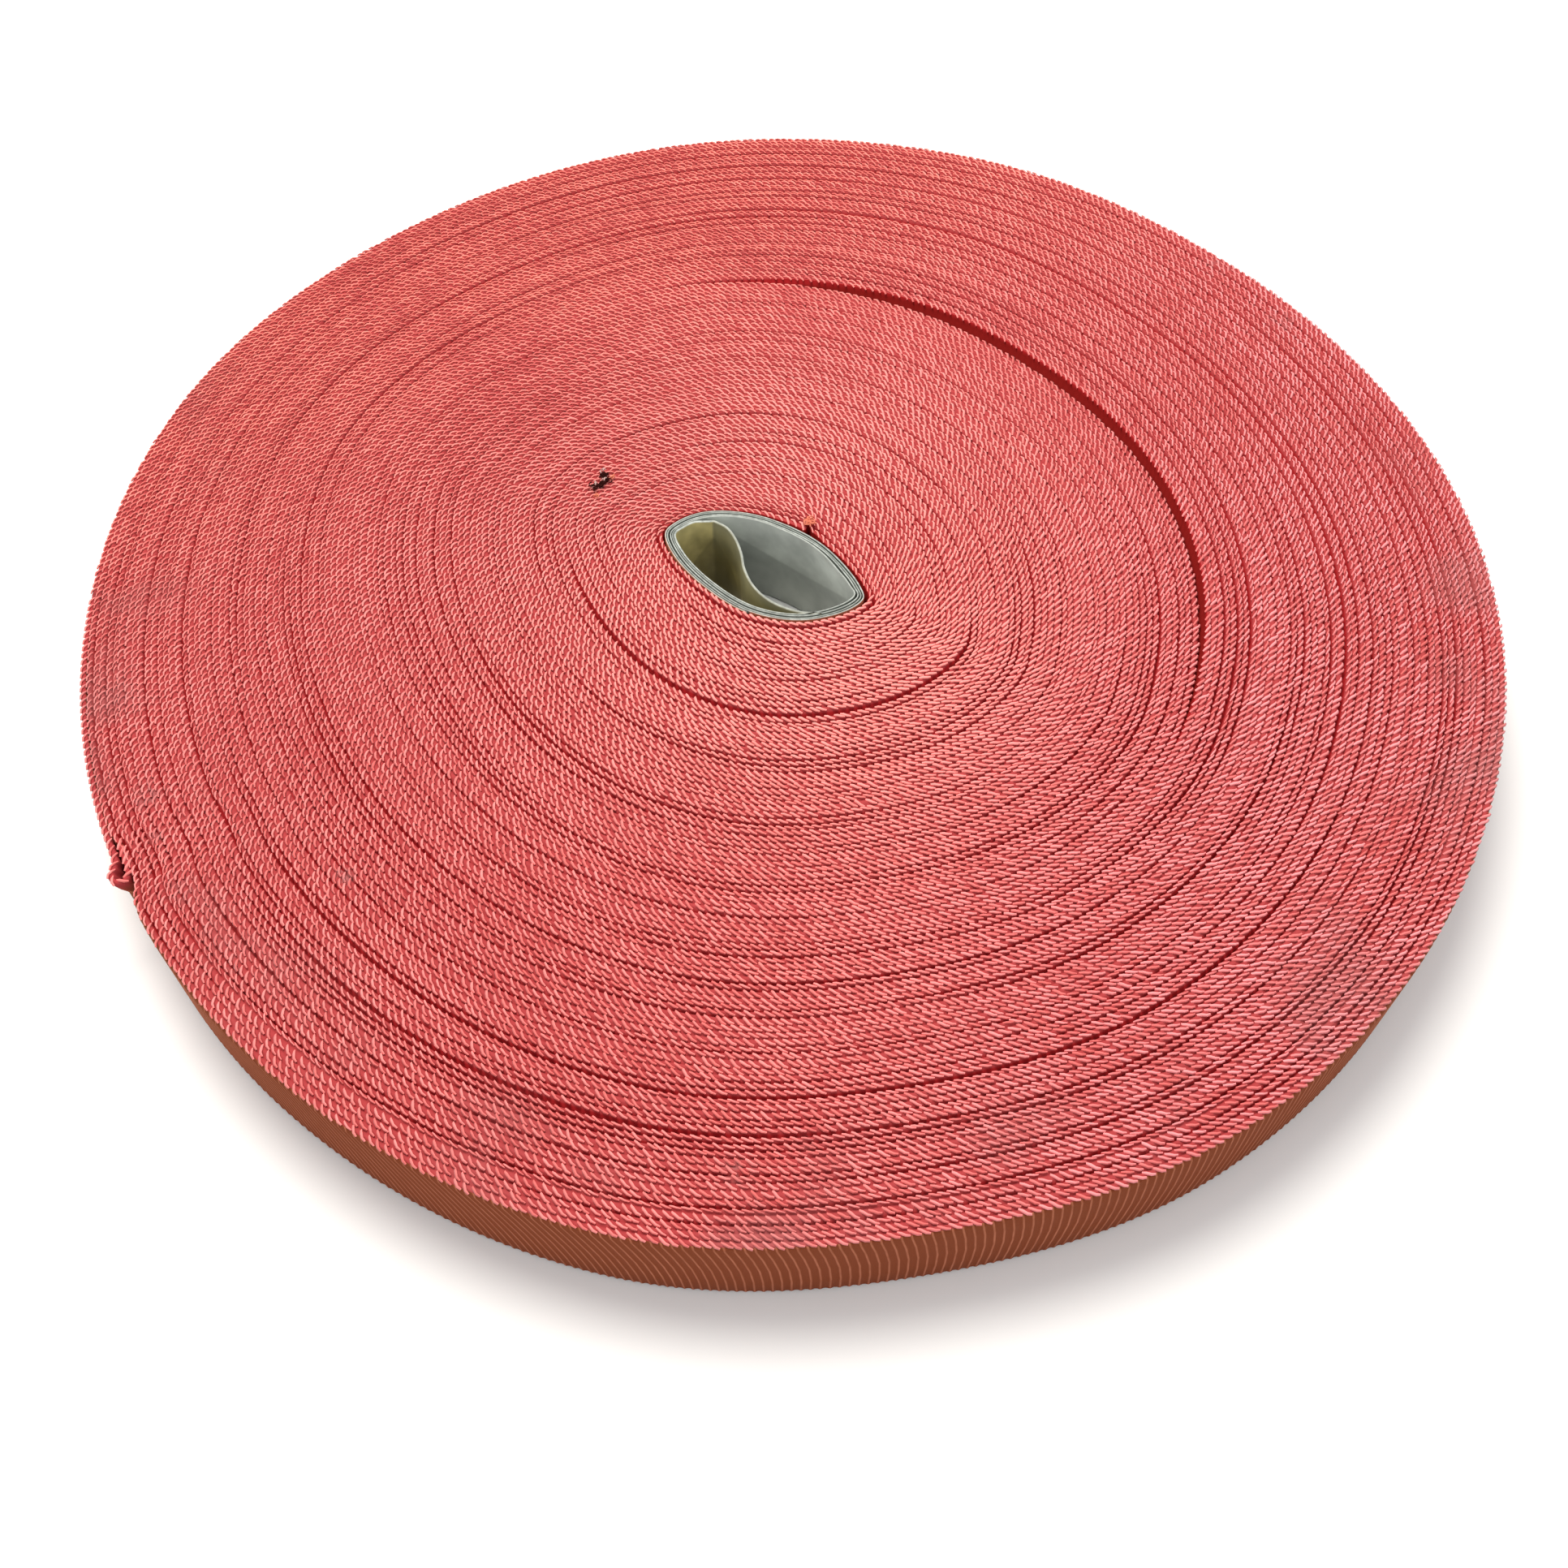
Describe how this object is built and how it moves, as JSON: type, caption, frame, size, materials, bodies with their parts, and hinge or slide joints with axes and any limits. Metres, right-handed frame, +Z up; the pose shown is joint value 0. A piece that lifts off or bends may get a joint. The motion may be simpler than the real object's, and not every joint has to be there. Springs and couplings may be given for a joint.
{
  "type": "roll of grosgrain ribbon",
  "caption": "Flat round roll of ribbed ribbon wound on edge round a lens-shaped strip card core, with a folded loose end.",
  "frame": {"origin": "on the surface under the middle of the roll", "axes": "+Z up, along the roll's short winding axis; -Y is the front of the picture, +X its right"},
  "size_m": [0.1501, 0.1503, 0.0135],
  "materials": {
    "ribbon": "ribbed woven ribbon, coral red, matt",
    "card": "grey coated card strip, satin"
  },
  "bodies": {
    "root": {"ribbon_roll": "ribbon", "loose_end": "ribbon", "core": "card"}
  },
  "joints": []
}
